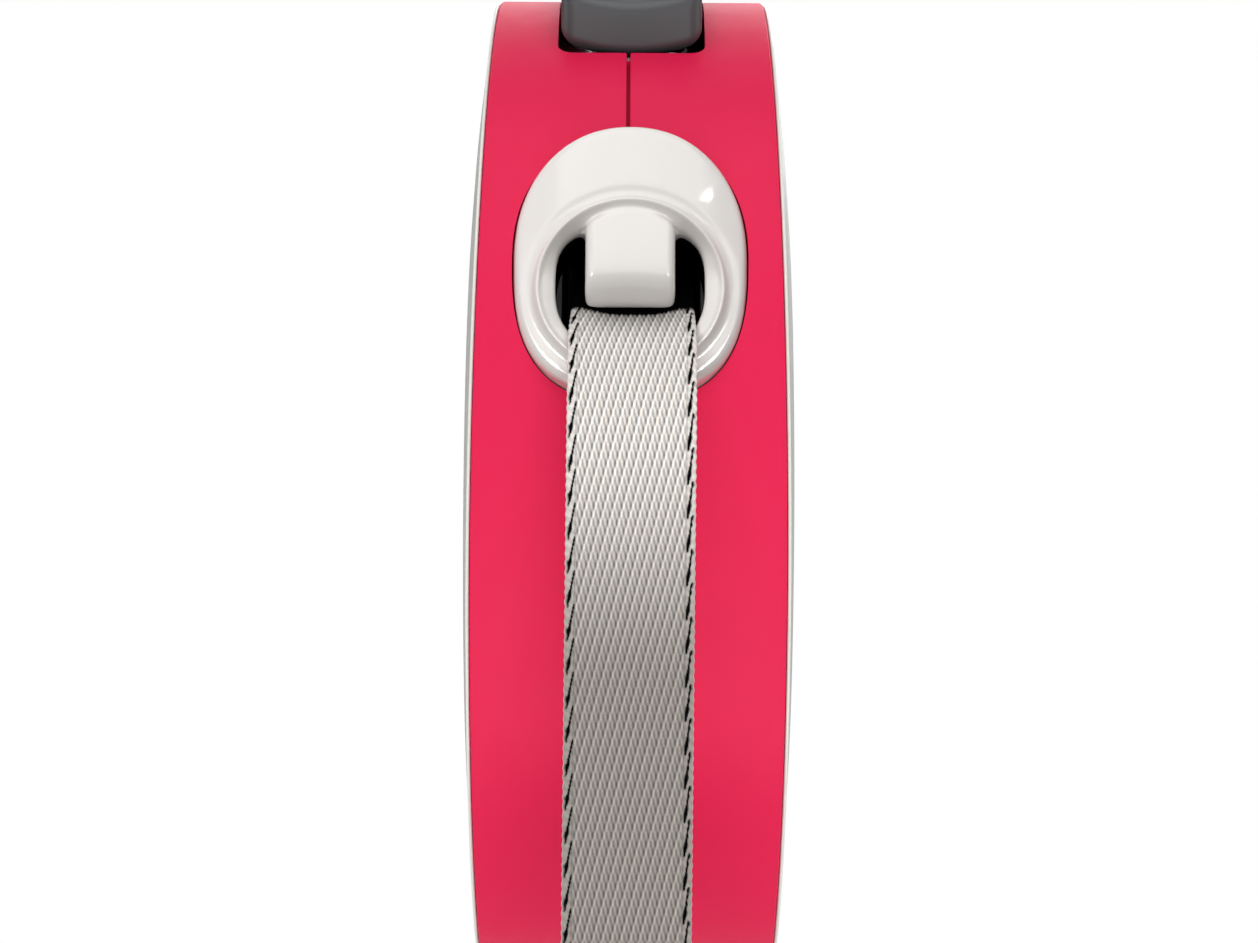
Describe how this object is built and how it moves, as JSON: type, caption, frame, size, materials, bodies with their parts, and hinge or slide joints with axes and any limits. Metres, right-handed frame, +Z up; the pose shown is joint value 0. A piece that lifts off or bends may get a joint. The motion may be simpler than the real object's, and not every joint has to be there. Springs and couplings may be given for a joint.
{
  "type": "retractable leash",
  "caption": "Retractable pet leash: a spring-driven tape reel in a handled casing with a mouthpiece, a thumb brake, a lock and a swivelling snap hook.",
  "frame": {"origin": "middle of the handle opening's rear face, which the fingers close on", "axes": "+Z up, +X to the right seen from the nozzle's front, and the nozzle faces -Y"},
  "size_m": [0.042, 0.1951, 0.2082],
  "materials": {
    "casing_plastic": "satin moulded plastic with a fine texture",
    "cover_plastic": "smooth pale grey plastic",
    "badge_plastic": "smooth off-white plastic",
    "nozzle_plastic": "glossy white plastic",
    "grip_rubber": "soft-touch grip",
    "control_plastic": "satin dark grey plastic",
    "reel_plastic": "natural grey plastic",
    "ratchet_plastic": "black plastic",
    "tape_webbing": "flat woven tape",
    "spring_steel": "bare spring steel",
    "plated_steel": "zinc plated",
    "hook_chrome": "polished chrome plate"
  },
  "bodies": {
    "casing": {"casing_left": "casing_plastic", "casing_right": "casing_plastic", "side_cover_left": "cover_plastic", "side_cover_right": "cover_plastic", "badge_left": "badge_plastic", "badge_right": "badge_plastic", "grip_liner": "grip_rubber", "nozzle": "nozzle_plastic", "axle": "plated_steel", "thrust_washer": "plated_steel", "pawl_pin": "plated_steel", "tape_lead": "tape_webbing", "button_spring": "spring_steel", "screw_front": "plated_steel", "screw_top": "plated_steel", "screw_bottom": "plated_steel", "screw_rear_top": "plated_steel", "screw_rear_bottom": "plated_steel"},
    "spool": {"spool_hub": "reel_plastic", "spool_flange": "reel_plastic", "ratchet_wheel": "ratchet_plastic", "power_spring": "spring_steel", "spring_cover": "ratchet_plastic", "tape_coil": "tape_webbing"},
    "button": {"brake_button": "control_plastic"},
    "pawl": {"brake_pawl": "plated_steel"},
    "lock": {"lock_slider": "control_plastic"},
    "tape_end": {"tape_hanging": "tape_webbing", "stopper_front": "casing_plastic", "stopper_back": "casing_plastic", "end_loop": "tape_webbing"},
    "eye": {"swivel_eye": "hook_chrome"},
    "hook": {"hook_body": "hook_chrome", "snap_spring": "spring_steel"},
    "bolt": {"snap_bolt": "hook_chrome"}
  },
  "joints": [
    {"name": "spool_spin", "type": "hinge", "parent": "casing", "child": "spool", "pos_m": [0, -0.09477, -0.0066], "axis": [1, 0, 0], "range_deg": [-45, 6240]},
    {"name": "tape_feed", "type": "slide", "parent": "casing", "child": "tape_end", "axis": [0, 0, -1], "range_m": [-0.0355, 4.902], "deforming": ["tape_hanging"]},
    {"name": "brake_press", "type": "slide", "parent": "casing", "child": "button", "axis": [0, 0.2957, -0.9553], "range_m": [0, 0.004], "stiffness_N_per_m": 800, "deforming": ["button_spring"]},
    {"name": "pawl_swing", "type": "hinge", "parent": "casing", "child": "pawl", "pos_m": [0, -0.08477, 0.0519], "axis": [1, 0, 0], "range_deg": [0, 8.3]},
    {"name": "lock_slide", "type": "slide", "parent": "casing", "child": "lock", "axis": [0, -1, 0], "range_m": [0, 0.004]},
    {"name": "eye_swing", "type": "hinge", "parent": "tape_end", "child": "eye", "pos_m": [0, -0.16094, -0.0893], "axis": [1, 0, 0], "range_deg": [-75, 75]},
    {"name": "hook_swivel", "type": "hinge", "parent": "eye", "child": "hook", "pos_m": [0, -0.16094, -0.1049], "axis": [0, 0, 1], "continuous": true},
    {"name": "snap_slide", "type": "slide", "parent": "hook", "child": "bolt", "axis": [0, 0, 1], "range_m": [0, 0.007], "stiffness_N_per_m": 300, "deforming": ["snap_spring"]}
  ],
  "couplings": [
    {"joint": "tape_feed", "follows": "spool_spin", "m_per_rad": 0.045},
    {"joint": "pawl_swing", "follows": "brake_press", "rad_per_m": 35.78}
  ]
}
